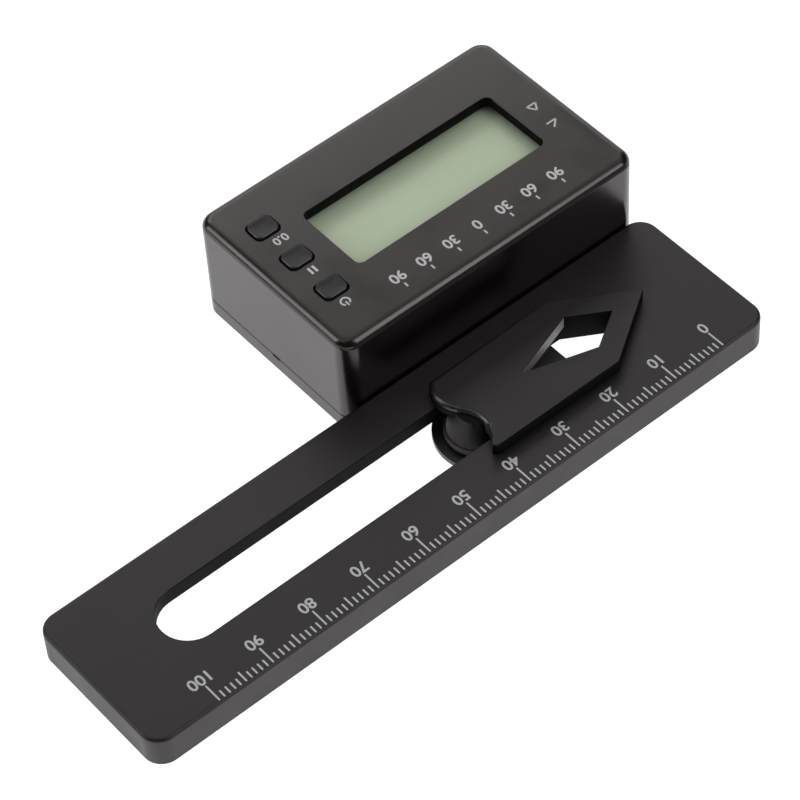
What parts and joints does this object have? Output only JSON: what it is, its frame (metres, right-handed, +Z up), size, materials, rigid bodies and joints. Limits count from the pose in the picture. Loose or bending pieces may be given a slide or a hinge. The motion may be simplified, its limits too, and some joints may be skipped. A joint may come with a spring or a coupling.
{
  "type": "digital pitch gauge",
  "caption": "Slotted millimetre scale plate with a digital angle display housing behind it and an arrow slider that runs in the slot.",
  "frame": {"origin": "middle of the whole outline, on the surface that the plate rests on", "axes": "+X along the scale from 0 to 100, +Y towards the scale's edge, +Z up"},
  "size_m": [0.1218, 0.0666, 0.0206],
  "materials": {
    "plate_plastic": "finely textured moulding",
    "case_plastic": "satin moulding",
    "slider_plastic": "satin moulding",
    "button_plastic": "matt moulding",
    "clear_plastic": "clear, polished",
    "display": "grey-green reflective display",
    "board": "lacquered laminate",
    "resin": "cured resin",
    "capacitor": "fired ceramic",
    "steel": "plated",
    "contact_metal": "plated spring metal",
    "rubber": "matt"
  },
  "bodies": {
    "gauge": {"base_plate": "plate_plastic", "front_shell": "case_plastic", "lcd_window": "clear_plastic", "lcd_panel": "display", "lcd_frame": "button_plastic", "zebra_strips": "rubber", "circuit_board": "board", "controller_chip": "resin", "tilt_sensor": "resin", "crystal": "steel", "capacitors": "capacitor", "tact_switches": "steel", "coin_cell": "steel", "negative_contact": "contact_metal", "positive_contact": "contact_metal", "case_screws": "steel", "board_screws": "steel"},
    "slider": {"slider_body": "slider_plastic", "slider_pad": "rubber", "slider_springs": "steel", "slider_backplate": "slider_plastic", "slider_screws": "steel"},
    "zero_key": {"button_zero": "button_plastic", "plunger_zero": "button_plastic"},
    "hold_key": {"button_hold": "button_plastic", "plunger_hold": "button_plastic"},
    "power_key": {"button_power": "button_plastic", "plunger_power": "button_plastic"},
    "cap": {"battery_cap": "case_plastic"}
  },
  "joints": [
    {"name": "slider_slide", "type": "slide", "parent": "gauge", "child": "slider", "axis": [1, 0, 0], "range_m": [-0.0011, 0.056]},
    {"name": "zero_press", "type": "slide", "parent": "gauge", "child": "zero_key", "axis": [0, 0, -1], "range_m": [0, 0.0005], "stiffness_N_per_m": 1500},
    {"name": "hold_press", "type": "slide", "parent": "gauge", "child": "hold_key", "axis": [0, 0, -1], "range_m": [0, 0.0005], "stiffness_N_per_m": 1500},
    {"name": "power_press", "type": "slide", "parent": "gauge", "child": "power_key", "axis": [0, 0, -1], "range_m": [0, 0.0005], "stiffness_N_per_m": 1500},
    {"name": "cap_turn", "type": "hinge", "parent": "gauge", "child": "cap", "pos_m": [-0.0358, -0.0147, 0.0002], "axis": [0, 0, -1], "range_deg": [0, 45]}
  ]
}
